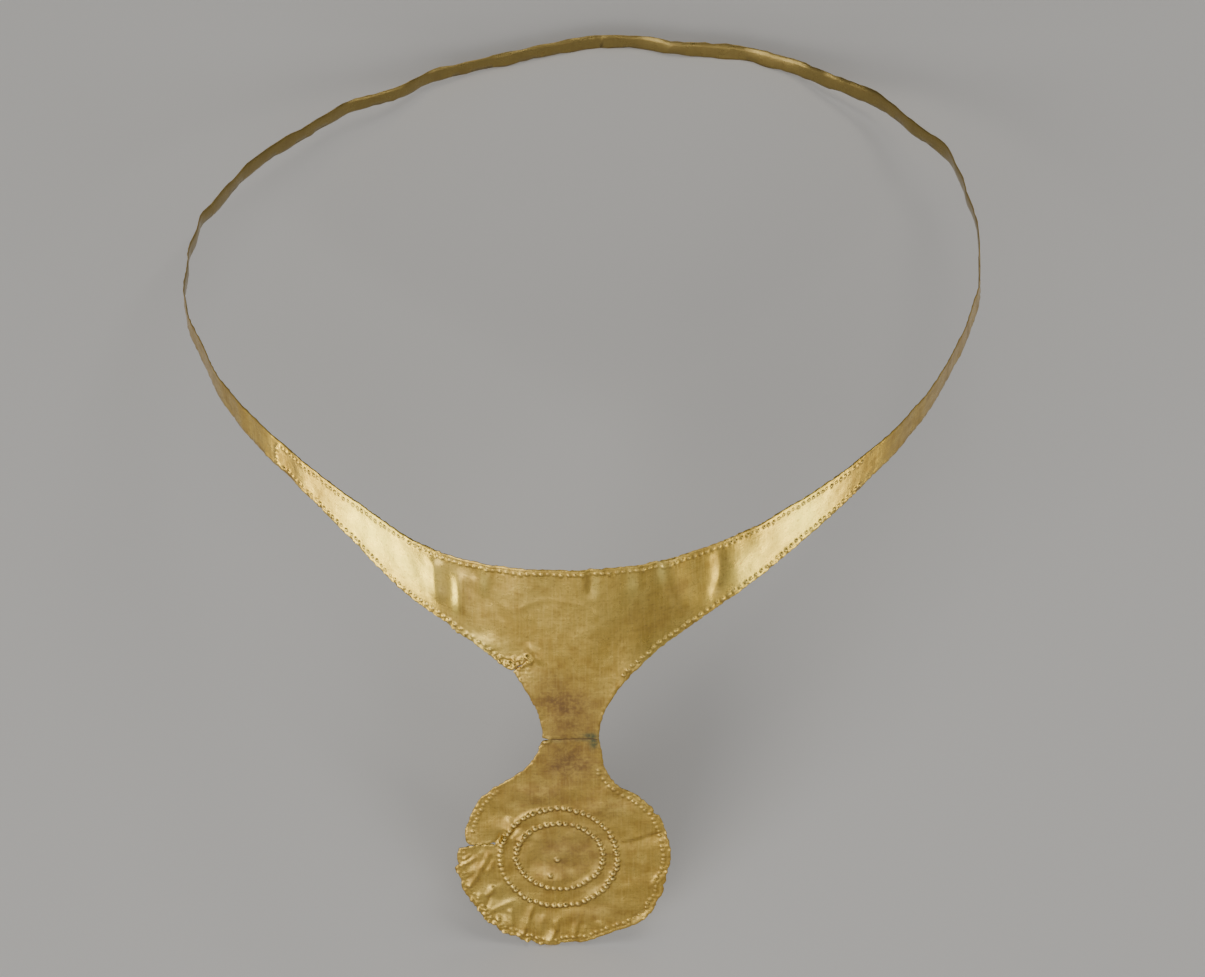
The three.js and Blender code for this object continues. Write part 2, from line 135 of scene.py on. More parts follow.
TEAR = [
    [-13.55, 26.4], [-12.55, 25.5], [-11.8, 24.6], [-11.35, 23.7], [-11.5, 23.7], [-11.95, 24.55],
    [-12.7, 25.4], [-13.65, 26.15], [-14.35, 26.6],
]
LEFT_EDGE = [
    [-15, 26.6], [-15.7, 26.05], [-17, 24.9], [-18.6, 23.6], [-20.4, 22], [-23.3, 20.4],
    [-26.2, 19.25], [-28.25, 17.75], [-31.2, 16.8], [-36, 15.5], [-42, 14.05], [-48, 12.4],
    [-55, 10.55], [-62, 9.2], [-68, 8.25], [-75, 7.7],
]


def noise(a, t, size, seed, waves=28, squeeze=1.0):
    """Smooth noise of one scale, as a sum of waves in all directions."""
    random = np.random.default_rng(seed)
    turn = random.uniform(0, 2 * math.pi, waves)
    length = size * random.uniform(0.7, 1.5, waves)
    phase = random.uniform(0, 2 * math.pi, waves)
    total = np.zeros_like(np.asarray(a, float))
    for angle, wave, shift in zip(turn, length, phase):
        run = a * math.cos(angle) + t * squeeze * math.sin(angle)
        total += np.cos(2 * math.pi * run / wave + shift)
    return total / math.sqrt(waves / 2)


def smoothstep(x, low, high):
    """A smooth rise from 0 at low to 1 at high."""
    share = np.clip((x - low) / (high - low), 0, 1)
    return share * share * (3 - 2 * share)


def round_curve(points, share):
    """A closed curve through points, by share of the way through them."""
    place = (share % 1) * len(points)
    index = np.floor(place).astype(int) % len(points)
    w = (place - np.floor(place))[:, None]
    p0, p1, p2, p3 = (points[(index + step) % len(points)] for step in (-1, 0, 1, 2))
    t0, t1 = (p2 - p0) / 2, (p3 - p1) / 2
    return p1 + t0 * w + (3 * (p2 - p1) - 2 * t0 - t1) * w**2 + (2 * (p1 - p2) + t0 + t1) * w**3


steps = np.linspace(0, 1, RING_STEPS)
track = round_curve(HEAD_EDGE, steps)
run = np.r_[0, np.cumsum(np.hypot(*np.diff(track[:, :2], axis=0).T))]
HEAD_LENGTH = run[-1]


def ring_at(a):
    """The head edge at the length a from the front's middle, and the direction down the sheet."""
    share = np.interp((a / HEAD_LENGTH) % 1, run / HEAD_LENGTH, steps)
    at = round_curve(HEAD_EDGE, share)
    ahead = round_curve(HEAD_EDGE, share + 1e-4) - round_curve(HEAD_EDGE, share - 1e-4)
    ahead /= np.hypot(ahead[:, 0], ahead[:, 1])[:, None]
    lean = at[:, 2]
    fall = np.c_[ahead[:, 1] * np.sin(lean), -ahead[:, 0] * np.sin(lean), -np.cos(lean)]
    return np.c_[at[:, :2], np.zeros(len(at))], fall


def band_width(a):
    """The band's width at the length a from the front's middle."""
    from_front = np.abs((a + HEAD_LENGTH / 2) % HEAD_LENGTH - HEAD_LENGTH / 2)
    taper = np.clip((from_front - ARM_END) / TAPER, 0, 1)
    return BAND_BACK + (BAND_ARM - BAND_BACK) * (0.5 + 0.5 * np.cos(math.pi * taper))


front = ring_at(np.zeros(1))[0][0]
pendant_fall = np.array([0, -math.sin(math.radians(FLARE)), -math.cos(math.radians(FLARE))])

# Tilt that brings the disc's lowest point and the back of the band down to one level
heels = np.arange(0, HEAD_LENGTH, 1.0)
heel_edge, heel_fall = ring_at(heels)
heel_low = heel_edge + heel_fall * band_width(heels)[:, None]
heel = heel_low[np.argmax(heel_low[:, 1])]
toe = front + pendant_fall * PENDANT
reach = heel - toe
TILT = math.atan2(reach[2], reach[1]) + math.asin(BACK_SINK / math.hypot(reach[1], reach[2]))
LIFT = toe[1] * math.sin(TILT) - toe[2] * math.cos(TILT)


def laid(p):
    """Points of the worn diadem, tilted as it lies and lifted onto the floor."""
    sine, cosine = math.sin(TILT), math.cos(TILT)
    return np.c_[
        p[:, 0], p[:, 1] * cosine + p[:, 2] * sine, p[:, 2] * cosine - p[:, 1] * sine + LIFT]


def lying(a, t):
    """Where the smooth sheet's middle lies, at places given as along and down."""
    edge, fall = ring_at(a)
    flat = smoothstep(t, BEND_FROM, BEND_TO)[:, None]
    hung = front + t[:, None] * pendant_fall + np.c_[a, np.zeros((len(a), 2))]
    point = laid((edge + fall * t[:, None]) * (1 - flat) + hung * flat)
    low = laid(edge + fall * band_width(a)[:, None])[:, 2]
    point[:, 2] += (0.5 * (low + np.hypot(low, SETTLING)) - low) * (1 - flat[:, 0])
    return point


def outward(a, t, step=0.05):
    """The direction that points out of the sheet's outer face."""
    across = lying(a + step, t) - lying(a - step, t)
    fall = lying(a, t + step) - lying(a, t - step)
    out = np.cross(fall, across)
    return out / np.linalg.norm(out, axis=1)[:, None]


def smooth_line(points, pitch):
    """An open smooth curve through given points, sampled evenly."""
    p = np.array(points, float)
    gap = np.hypot(*np.diff(p, axis=0).T)[:, None]
    slope = np.diff(p, axis=0) / gap
    middle = (slope[:-1] * gap[1:] + slope[1:] * gap[:-1]) / (gap[:-1] + gap[1:])
    slope = np.vstack([slope[:1], middle, slope[-1:]])
    w = np.linspace(0, 1, SPAN_STEPS, endpoint=False)[:, None]
    out = []
    for k in range(len(p) - 1):
        t0, t1 = slope[k] * gap[k], slope[k + 1] * gap[k]
        out.append(p[k] + t0 * w + (3 * (p[k + 1] - p[k]) - 2 * t0 - t1) * w**2
                   + (2 * (p[k] - p[k + 1]) + t0 + t1) * w**3)
    return even(np.vstack(out + [p[-1:]]), pitch)


def even(line, pitch):
    """Places along a line, evenly spaced by about the pitch."""
    line = np.array(line, float)
    gone = np.r_[0, np.cumsum(np.hypot(*np.diff(line, axis=0).T))]
    count = max(2, int(round(gone[-1] / pitch)) + 1)
    at = np.linspace(0, gone[-1], count)
    return np.c_[np.interp(at, gone, line[:, 0]), np.interp(at, gone, line[:, 1])]


# Outline of the flat sheet: from the back's middle along the head edge, and back along the lower
HALF = HEAD_LENGTH / 2
arm_a = np.r_[
    HALF, np.arange(HALF - COARSE, ARM_FAR, -COARSE),
    np.arange(ARM_FAR, PLATE_REACH + TOP_PITCH, -PLAIN)]
top_a = np.r_[-arm_a, np.arange(-PLATE_REACH, PLATE_REACH, TOP_PITCH), arm_a[::-1]]


def beside(line):
    """The direction square to a line at each of its points."""
    ahead = np.gradient(line, axis=0)
    return np.c_[-ahead[:, 1], ahead[:, 0]] / np.maximum(np.hypot(*ahead.T), 1e-9)[:, None]


def worn_edge(line):
    """Moves an edge in and out a little, as a cut and worn edge runs."""
    a, t = line.T
    depth = 0.055 * noise(a, t, 2.4, 11) + 0.04 * noise(a, t, 1.0, 12)
    back = smoothstep(np.abs(a), 90, 130) * smoothstep(HALF - np.abs(a), 0, 6)
    depth = depth * smoothstep(HALF - np.abs(a), 0, 4) + back * 0.16 * noise(a, 0 * a, 9.0, 13)
    ends = np.minimum(np.arange(len(line)), np.arange(len(line))[::-1])
    return line + beside(line) * (depth * np.clip(ends / 3, 0, 1))[:, None]


outline = np.vstack([
    worn_edge(np.c_[top_a, np.zeros(len(top_a))]),
    worn_edge(np.c_[arm_a, band_width(arm_a)]),
    worn_edge(smooth_line(RIGHT_EDGE, FINE)),
    worn_edge(smooth_line(RIGHT_RIM, FINE)),
    worn_edge(smooth_line(LOWER_RIM, FINE)),
    even(LOWER_LIP, LIP_PITCH), even(UPPER_LIP, LIP_PITCH),
    worn_edge(smooth_line(LEFT_RIM, FINE)),
    CRACK,
    worn_edge(smooth_line(NECK_LEFT, FINE)),
    even(TEAR, LIP_PITCH),
    worn_edge(smooth_line(LEFT_EDGE, FINE)),
    worn_edge(np.c_[-arm_a[::-1], band_width(arm_a[::-1])])[1:],
])
step = np.hypot(*(outline - np.roll(outline, 1, axis=0)).T)
outline = outline[step > LEAST_STEP]


def inside_line(line, depth):
    """An edge moved into the sheet, for one that runs from the right arm to the left arm."""
    kernel = np.ones(9) / 9
    padded = np.vstack([[line[0]] * 4, line, [line[-1]] * 4])
    calm = np.column_stack([np.convolve(column, kernel, "valid") for column in padded.T])
    return calm + beside(calm) * depth


def dots_on(line, pitch, radius, height, seed, loose=0.09):
    """A row of dots along a line, set by hand and so a little uneven."""
    random = np.random.default_rng(seed)
    places = even(line, pitch)
    places = places + random.normal(0, loose, places.shape)
    heights = height * random.uniform(0.6, 1.15, len(places))
    return np.c_[places, radius * random.uniform(0.85, 1.08, len(places)), heights]


def ring_line(mid, down_mid, across, down):
    """An ellipse about (mid, down_mid), without its repeated last point."""
    turn = np.radians(np.linspace(0, 360, 400))
    return np.c_[mid + across * np.sin(turn), down_mid - down * np.cos(turn)][:-1]


# Rows of punched dots: (along, down, radius, height)
top_row = [[-ROW_LEFT, 6.6], [-ROW_LEFT - 0.6, 4], [-ROW_LEFT, 1.5], [-60, 1.3], [0, 1.3],
           [ROW_RIGHT, 1.35]]
right_row = smooth_line(RIGHT_EDGE[:12], FINE)
right_row = inside_line(right_row[right_row[:, 0] < ROW_RIGHT], BORDER_ROW)
left_row = inside_line(np.vstack([
    smooth_line(LEFT_EDGE[2:], FINE),
    [[-ROW_LEFT, band_width(np.array([-ROW_LEFT]))[0]]],
]), BORDER_ROW)
rim_row = inside_line(
    smooth_line(RIGHT_EDGE[19:25] + RIGHT_RIM[1:] + LOWER_RIM[1:-1], FINE), RIM_ROW)
left_rim_row = inside_line(smooth_line(LEFT_RIM[2:12], FINE), RIM_ROW)
outer_ring = ring_line(-5.1, 77.45, across=12.5, down=13.7)
inner_ring = ring_line(-4.85, 77.0, across=9.25, down=9.1)
# The two marks inside the rings, and two beads at the rim
MARKS = [[-5.4, 78.0, 0.66, 0.5], [-6.9, 82.3, 0.62, 0.3]]
RIM_BEADS = [[-15.4, 97.7, 0.5, 0.4], [-14.7, 98.5, 0.5, 0.4]]
dots = np.vstack([
    dots_on(top_row, pitch=1.4, radius=0.52, height=0.2, seed=2),
    dots_on(right_row, pitch=1.42, radius=0.52, height=0.22, seed=4),
    dots_on(left_row, pitch=1.42, radius=0.52, height=0.22, seed=5),
    dots_on(rim_row, pitch=1.3, radius=0.52, height=0.15, seed=6, loose=0.14),
    dots_on(left_rim_row, pitch=1.3, radius=0.52, height=0.15, seed=7, loose=0.14),
    dots_on(outer_ring, pitch=1.33, radius=0.64, height=0.52, seed=8, loose=0.1),
    dots_on(inner_ring, pitch=1.36, radius=0.64, height=0.52, seed=9, loose=0.08),
    MARKS, RIM_BEADS,
])
# The outer ring is worn down at its left
wear_and_sheen = smoothstep(-dots[:, 0], 13.5, 17) * (dots[:, 1] > 74) * (dots[:, 1] < 90)
dots[:, 3] *= 1 - 0.5 * wear_and_sheen


def spaced(places, least):
    """The places without any that crowd an earlier one."""
    kept = []
    for row in places:
        if all(math.hypot(row[0] - k[0], row[1] - k[1]) > least for k in kept[-NEIGHBOURS:]):
            kept.append(row)
    return np.array(kept)


def edge_gap(a, t, line, chunk=2000):
    """Distance from each place to the nearest part of a closed line, and whether it is inside."""
    start, end = line, np.roll(line, -1, axis=0)
    run_a, run_t = (end - start).T
    square = np.maximum(run_a**2 + run_t**2, 1e-12)
    gaps, within = [], []
    for at in range(0, len(a), chunk):
        x, y = a[at:at + chunk, None], t[at:at + chunk, None]
        share = np.clip(((x - start[:, 0]) * run_a + (y - start[:, 1]) * run_t) / square, 0, 1)
        gaps.append(np.sqrt(((x - start[:, 0] - share * run_a)**2
                             + (y - start[:, 1] - share * run_t)**2).min(axis=1)))
        over = (start[:, 1] > y) != (end[:, 1] > y)
        with np.errstate(divide="ignore", invalid="ignore"):
            cross = x < start[:, 0] + run_a * (y - start[:, 1]) / run_t
        within.append((over & cross).sum(axis=1) % 2 == 1)
    return np.concatenate(gaps), np.concatenate(within)


gap, within = edge_gap(dots[:, 0], dots[:, 1], outline)
dots = spaced(dots[within & (gap > DOT_MARGIN)], DOT_SPACING)


def honeycomb(a0, a1, t0, t1, size):
    """Evenly spaced points over a box of the flat sheet."""
    rise = size * math.sqrt(3) / 2
    a, t = np.meshgrid(np.arange(a0, a1, size), np.arange(t0, t1, rise))
    a = a + (np.arange(a.shape[0]) % 2)[:, None] * size / 2
    return np.c_[a.ravel(), t.ravel()]


# Points of the mesh: finer on the disc, the tear and the crack, coarser round the back
FINE_BOXES = [[-22, -8, 18, 29], [-9.5, 5, 43, 47.5]]
plate_grid = honeycomb(-PLATE_REACH, PLATE_REACH, 0, DISC_FROM, PLATE_GRID)
for a0, a1, t0, t1 in FINE_BOXES:
    a, t = plate_grid.T
    plate_grid = plate_grid[(a < a0) | (a > a1) | (t < t0) | (t > t1)]
inner = np.vstack([
    honeycomb(*DISC_BOX, DISC_GRID), plate_grid,
    *[honeycomb(*box, FINE_GRID) for box in FINE_BOXES],
    honeycomb(PLATE_REACH, BACK_FROM, 0, ARM_DEPTH, ARM_GRID),
    honeycomb(-BACK_FROM, -PLATE_REACH, 0, ARM_DEPTH, ARM_GRID),
    honeycomb(BACK_FROM, HALF, 0, BACK_DEPTH, BACK_GRID),
    honeycomb(-HALF, -BACK_FROM, 0, BACK_DEPTH, BACK_GRID),
])
inner = inner[np.abs(inner[:, 0]) < HALF - SEAM_CLEARANCE]
gap, within = edge_gap(inner[:, 0], inner[:, 1], outline)
clear = np.where(np.abs(inner[:, 0]) > PLATE_REACH, ARM_CLEARANCE, FRONT_CLEARANCE)
inner = inner[within & (gap > clear)]
# The grid leaves room for the points of each dot, and only looks at dots within this reach
DOT_REACH = 2
near = np.full(len(inner), np.inf)
for row in dots:
    close = np.abs(inner[:, 0] - row[0]) < DOT_REACH
    near[close] = np.minimum(near[close], np.hypot(*(inner[close] - row[:2]).T) - row[2])
inner = inner[near > DOT_CLEARANCE]

# Rings of points round each dot's middle, as shares of its radius and a count
DOT_RINGS = ((0.38, 6), (0.72, 9), (1.02, 12))
rings = []
for index, (x, y, radius, _) in enumerate(dots):
    turn = (index * 0.618) % 1
    rings.append([[x, y]])
    for share, count in DOT_RINGS:
        angles = 2 * math.pi * (np.arange(count) / count + turn)
        ring_radius = share * radius
        rings.append(np.c_[x + ring_radius * np.cos(angles), y + ring_radius * np.sin(angles)])
ring_points = np.vstack(rings)
gap, within = edge_gap(ring_points[:, 0], ring_points[:, 1], outline)
ring_points = ring_points[within & (gap > RING_CLEARANCE)]

places = np.vstack([outline, inner, ring_points])
border = [(k, (k + 1) % len(outline)) for k in range(len(outline))]
made = delaunay_2d_cdt([Vector(p) for p in places], border, [], 1, 1e-5)
flat_points = np.array([tuple(p) for p in made[0]])
triangles = np.array(made[2])


def path_at(a, t, points, pitch=0.6):
    """Signed distance to a path (positive on its right seen along it), and the share along it."""
    line = smooth_line(points, pitch)
    gap, side, share = (np.full(len(a), v) for v in (1e9, 0.0, 0.0))
    for k in range(len(line) - 1):
        (x0, y0), (x1, y1) = line[k], line[k + 1]
        dx, dy = x1 - x0, y1 - y0
        w = np.clip(((a - x0) * dx + (t - y0) * dy) / (dx * dx + dy * dy), 0, 1)
        d = np.hypot(a - x0 - w * dx, t - y0 - w * dy)
        nearer = d < gap
        turn = (a - x0) * dy - (t - y0) * dx
        gap[nearer] = d[nearer]
        side[nearer] = -np.sign(turn[nearer])
        share[nearer] = (k + w[nearer]) / (len(line) - 1)
    return gap * side, share


def fold(a, t, points, left, right, height, fade):
    """A ridge along a path, with its own width on each side and fading at its ends."""
    s, u = path_at(a, t, points)
    across = np.exp(-(np.where(s > 0, s / right, s / left))**2)
    ends = smoothstep(u, 0, max(fade[0], 1e-6)) * smoothstep(1 - u, 0, max(fade[1], 1e-6))
    return height * across * ends


# Each fold: its path, its width on the right and on the left of a path that runs down the sheet,
# as the photo shows it, its height, and the shares over which its ends fade
FOLDS = [
    # disc, left of the rings: wrinkles from the slit down to the rim
    ([[-26, 80], [-25.2, 79], [-24.2, 78.5], [-23.3, 77.75], [-22.5, 76.5]],
     0.5, 0.5, 0.32, (0, 0.3)),
    ([[-21, 74.7], [-21.5, 76.2], [-22, 77.8], [-22.7, 79.7], [-23.8, 81.7], [-25, 83]],
     0.7, 0.7, 0.2, (0.2, 0.3)),
    ([[-19.7, 75], [-20.2, 77], [-20.8, 78.7], [-21.7, 80.3], [-22.5, 82.4], [-23.4, 84.1],
      [-24.2, 85.4], [-24.9, 86.4]],
     0.6, 0.75, 0.42, (0.2, 0.1)),
    ([[-19.1, 85], [-19.4, 86.8], [-20.6, 88.8]], 0.5, 0.7, 0.36, (0.3, 0.2)),
    ([[-19.7, 87.2], [-19.9, 88.1], [-20.2, 89.9], [-20.7, 91.5], [-20.9, 92.5]],
     0.5, 0.5, -0.32, (0.2, 0.3)),
    ([[-13.9, 89.1], [-15.5, 89.9], [-17.3, 91.1], [-19.1, 92.2], [-20.1, 93.4]],
     0.6, 0.5, 0.2, (0.3, 0.2)),
    ([[-15.4, 91.6], [-15.3, 94], [-15.2, 97]], 0.35, 1.2, 0.34, (0.25, 0.1)),
    ([[-10.1, 89.7], [-10.9, 92.4], [-11.4, 94.1], [-11.9, 96.3], [-12.55, 98.4], [-13.2, 100]],
     0.35, 1.0, 0.46, (0.3, 0)),
    ([[-4.25, 93.8], [-5.5, 95.6], [-5.7, 97.9], [-6.3, 99.5], [-6.9, 101.3], [-7.1, 102.4]],
     0.4, 1.0, 0.42, (0.4, 0)),
    ([[-1.2, 95], [-1.5, 97.5], [-1.9, 100.5]], 0.5, 0.8, 0.22, (0.4, 0.1)),
    ([[0.6, 96.5], [0.3, 99]], 0.35, 0.6, 0.14, (0.4, 0.1)),
    # creases that run on from the slit's tip
    ([[-18.5, 73.1], [-17.8, 72.6], [-17.5, 71.7], [-17.6, 69.5]], 0.4, 0.4, -0.3, (0, 0.4)),
    ([[-16.5, 70.8], [-16.8, 72], [-17.6, 73.5]], 0.35, 0.4, 0.4, (0.3, 0.2)),
    ([[-15.5, 65.8], [-15.5, 67.5], [-15.7, 69.2], [-16.3, 70.3]], 0.6, 0.7, 0.28, (0.35, 0.2)),
    ([[-13.3, 68.2], [-14.5, 70], [-15.7, 72.2]], 0.6, 0.6, -0.3, (0.3, 0.2)),
    ([[-10.3, 70.3], [-12, 71.3], [-13.3, 72.3], [-14.3, 73]], 0.45, 0.45, 0.28, (0.3, 0.2)),
    ([[-10, 72.75], [-12, 73.2], [-13.8, 73.7]], 1.8, 0.5, -0.26, (0.3, 0.2)),
    # disc, right
    ([[7.5, 74], [9, 73.5], [11.5, 72.75], [15, 71.25], [17.25, 70.25]], 0.5, 2.2, -0.24, (0.3, 0)),
    ([[16.25, 81.5], [15.25, 84], [14.25, 86]], 0.4, 0.4, 0.18, (0.3, 0.3)),
    ([[17, 82], [16.3, 84.5]], 0.35, 0.35, 0.14, (0.3, 0.2)),
    ([[14.2, 91.6], [12, 93.6], [10, 95.2]], 0.7, 0.35, -0.24, (0.2, 0.3)),
    # lips that follow the rows of dots
    ([[-8.5, 85.3], [-4.6, 85.5], [-0.6, 84.5], [2, 82.4], [3.5, 79.3], [3.9, 76]],
     0.7, 0.9, 0.2, (0.3, 0.35)),
    ([[-6, 91], [0, 89.4], [4, 86], [6.4, 82], [7.2, 78]], 0.7, 0.7, 0.16, (0.3, 0.35)),
    ([[-17, 82], [-17.2, 77], [-16.2, 71.5], [-13, 66.5], [-8.5, 64.2], [-4, 64]],
     0.6, 0.6, 0.26, (0.4, 0.35)),
    ([[-23.6, 76.2], [-24.6, 77.2], [-25.8, 78.2]], 0.4, 0.4, 0.2, (0.3, 0.2)),
    ([[-18.9, 77.5], [-19.6, 80], [-20.6, 82.4]], 0.5, 0.5, 0.15, (0.3, 0.3)),
    ([[-17.9, 84], [-17.6, 87], [-17.9, 89.6]], 0.5, 0.6, 0.15, (0.3, 0.3)),
    ([[-21.8, 87], [-22.4, 89], [-22.6, 91]], 0.4, 0.5, 0.2, (0.3, 0.3)),
    ([[-18.3, 93.4], [-17.9, 95.6], [-17.6, 97]], 0.4, 0.6, 0.2, (0.3, 0.1)),
    ([[-8.3, 93], [-8.8, 96], [-9.2, 99.6]], 0.5, 0.7, 0.16, (0.4, 0.2)),
    ([[3, 95], [4.2, 97.5]], 0.5, 0.7, 0.16, (0.4, 0.2)),
    # plate: soft upright undulations
    ([[-31, 1], [-30.7, 8], [-30, 14]], 1.5, 1.8, 0.5, (0.2, 0.3)),
    ([[-25.2, 2], [-25, 9], [-24.8, 15]], 1.0, 1.4, 0.5, (0.3, 0.3)),
    ([[-22.3, 1], [-22.4, 4.8]], 0.5, 0.6, -0.2, (0.3, 0.3)),
    ([[-19, -1], [-19.6, 4], [-20.5, 9]], 1.2, 1.2, 0.32, (0, 0.4)),
    ([[1.6, -1], [1.75, 4], [1.9, 8]], 1.0, 0.8, -0.3, (0, 0.4)),
    ([[12, -1], [11.8, 5], [11.4, 9]], 1.6, 1.8, 0.36, (0, 0.4)),
    ([[17.2, -1], [17.4, 3], [18.2, 7], [20, 12], [24, 17]], 3.2, 1.1, 0.6, (0.1, 0.4)),
    ([[29.3, 1], [29.8, 6], [29.2, 10.5], [27, 14.5]], 1.1, 1.6, -0.4, (0.2, 0.3)),
    ([[-16.5, 10.75], [-12.5, 10.25], [-11, 9], [-5, 8], [1, 10], [6, 16.5]],
     0.5, 0.5, 0.05, (0.2, 0.3)),
    ([[-10.8, 18.6], [-9.7, 21.9], [-8.6, 24.4], [-9, 25.4]], 0.7, 0.7, 0.2, (0.4, 0.3)),
    # curls along the tear's upper side
    ([[-11.9, 22.7], [-10.9, 23.1], [-10.5, 24], [-11.1, 24.9]], 0.4, 0.4, 0.6, (0.15, 0.2)),
    ([[-11.9, 23.9], [-12.6, 24.8], [-13.6, 25.4], [-14.6, 26.1]], 0.35, 0.35, 0.6, (0.1, 0.1)),
    ([[-12.3, 23.2], [-13.3, 24.1], [-14.3, 24.7], [-15.3, 25.3]], 0.3, 0.3, 0.3, (0.2, 0.2)),
    ([[-11.4, 24], [-12.2, 24.2], [-12.9, 24.9], [-14, 25.4]], 0.3, 0.3, -0.35, (0.2, 0.2)),
    ([[-15, 26.3], [-16.4, 25.1], [-17.8, 23.8], [-20, 22], [-23, 20.2]],
     0.35, 0.35, 0.3, (0, 0.3)),
    # the crack's lifted corner and line
    ([[-8.3, 45.6], [-7.4, 45.4], [-6.4, 45.2]], 0.4, 0.4, 0.4, (0, 0.4)),
    ([[-7, 44.75], [-2, 44.65], [3.4, 44.7]], 0.35, 0.35, -0.1, (0.1, 0.1)),
]
# Each dent: along, down, its reach both ways and its height
DENTS = [
    [-5.6, 83.4, 3.6, 2.6, 0.5], [-10.0, 78.6, 2.4, 2.8, -0.4], [-18.9, 88.9, 1.4, 1.6, -0.25],
    [-16.9, 93.2, 1.4, 1.2, -0.2], [-13.4, 94.5, 1.4, 3.0, -0.16],
    [4.5, 63.5, 4.5, 3.0, 0.18], [-10.0, 60.0, 5.0, 2.5, 0.14],
    [-19.5, 63.5, 2.5, 4.0, -0.16], [2.0, 91.5, 4.0, 2.5, -0.2], [8.5, 88, 3, 4, 0.15],
    [-40, 6, 5, 6, 0.3], [-48, 4, 4, 5, -0.25], [38, 7, 5, 6, 0.3], [47, 5, 4, 5, -0.25],
    [-14, 8, 4, 9, 0.18], [-5, 10, 4, 10, -0.15], [-19.5, 20.5, 2.5, 1.8, 0.25],
]
# The back band's bends: along, reach, height
KINKS = [
    [154, 5, 0.15], [168, 4, -0.5], [184, 4, 0.8], [197, 5, -0.4], [210, 5, 0.7], [225, 6, -0.5],
    [245, 6, 0.6], [259, 5, -0.4], [-142, 5, -0.5], [-152, 5, 0.4], [-162, 3.5, 0.9],
    [-176, 6, -0.5], [-200, 6, -0.5], [-215, 4, 0.9], [-227, 5, -0.4], [-238, 5, 0.6],
    [-256, 6, -0.4],
]


def on_disc(t):
    """1 on the disc and 0 above it."""
    return smoothstep(t, 56, 60)


def relief(a, t):
    """How far the sheet stands out (mm) from its smooth shape, apart from edges and dots."""
    height = np.zeros(len(a))
    for points, left, right, rise, fade in FOLDS:
        height += fold(a, t, points, left, right, rise, fade)
    for x, y, across, down, rise in DENTS:
        height += rise * np.exp(-((a - x) / across)**2 - ((t - y) / down)**2)
    for x, across, rise in KINKS:
        height += rise * np.exp(-((a - x) / across)**2)
    plate = 1 - smoothstep(np.abs(a), 50, 90)
    disc = on_disc(t)
    height += plate * (1 - disc) * 0.05 * noise(a, t, 9.0, 21, squeeze=0.45)
    height += plate * 0.010 * noise(a, t, 3.0, 22)
    height += plate * 0.003 * noise(a, t, 1.3, 23)
    height += disc * 0.055 * noise(a, t, 7.0, 24)
    height += (1 - plate) * 0.1 * noise(a, 0 * t, 11.0, 25)
    height += (1 - plate) * 0.02 * noise(a, t, 2.6, 26)
    return height


def edge_relief(a, t, gap):
    """Crimping and lumps along the edges."""
    disc = on_disc(t)
    lower_left = disc * smoothstep(-a, 0, 10) * smoothstep(t, 84, 92)
    tear_side = smoothstep(-a, 10, 14) * smoothstep(t, 14, 20) * (1 - smoothstep(t, 30, 34))
    crimp = 0.045 + 0.1 * lower_left + 0.09 * tear_side + 0.03 * disc
    lumps = np.exp(-(gap / 0.55)**2) * crimp * noise(a, t, 1.15, 31)
    crumple = lower_left * np.exp(-(gap / 1.5)**2) * 0.07 * noise(a, t, 1.5, 32)
    crumple += np.exp(-((a + 13.8) / 2.4)**2 - ((t - 25) / 1.6)**2) * 0.16 * noise(a, t, 1.1, 33)
    turned = np.exp(-(gap / 0.45)**2) * 0.09
    return lumps + crumple + turned


def dot_relief(a, t):
    """The dots' height, and the dirt and painted shade round their feet, darker on their lower
    side.
    """
    height, feet_dirt_and_shade = np.zeros(len(a)), np.zeros(len(a))
    order = np.argsort(a)
    sorted_a = a[order]
    for x, y, radius, rise in dots:
        low, high = np.searchsorted(sorted_a, (x - 2 * radius, x + 2 * radius))
        near = order[low:high]
        r = np.hypot(a[near] - x, t[near] - y) / radius
        height[near] = np.maximum(height[near], rise * np.clip(1 - r * r, 0, 1)**1.6)
        # Dirt and painted shade in a ring at each dot's foot, stronger on its lower side
        below = np.clip((t[near] - y) / radius, -0.5, 1)
        foot_dirt_and_shade = np.exp(-((r - 1) / 0.3)**2) * (0.35 + 0.65 * below)
        feet_dirt_and_shade[near] = np.maximum(feet_dirt_and_shade[near], foot_dirt_and_shade * min(1, rise / 0.42))
    return height, feet_dirt_and_shade


a, t = flat_points.T
gap, _ = edge_gap(a, t, outline)
bumps, feet_dirt_and_shade = dot_relief(a, t)
height = relief(a, t) + edge_relief(a, t, gap) + bumps
# The slit's upper lip stands a little proud of the lower one
upper_lip = np.where((a < -18.6) & (t < 73.7) & (t > 69), 0.16, 0)
height += upper_lip * smoothstep(-a, 18.6, 21.5) * smoothstep(t, 69, 73)
base = lying(a, t) + outward(a, t) * height[:, None]

# Into the frame's place, with the sheet's middle inside the solid's box
frame_low, frame_high = np.array(cad_box) / MM
base = np.clip(base + PLACE, frame_low + [WALL, WALL, FLOOR_GAP], frame_high - WALL)

# Joins the sheet's two ends at the back's middle
welded = np.arange(len(a))
left_end = np.where(np.abs(a + HALF) < 1e-3)[0]
right_end = np.where(np.abs(a - HALF) < 1e-3)[0]
for index in right_end:
    welded[index] = left_end[np.argmin(np.abs(t[left_end] - t[index]))]
triangles = welded[triangles]
used, triangles = np.unique(triangles, return_inverse=True)
triangles = triangles.reshape(-1, 3)
a, t, bumps, feet_dirt_and_shade, base = (values[used] for values in (a, t, bumps, feet_dirt_and_shade, base))

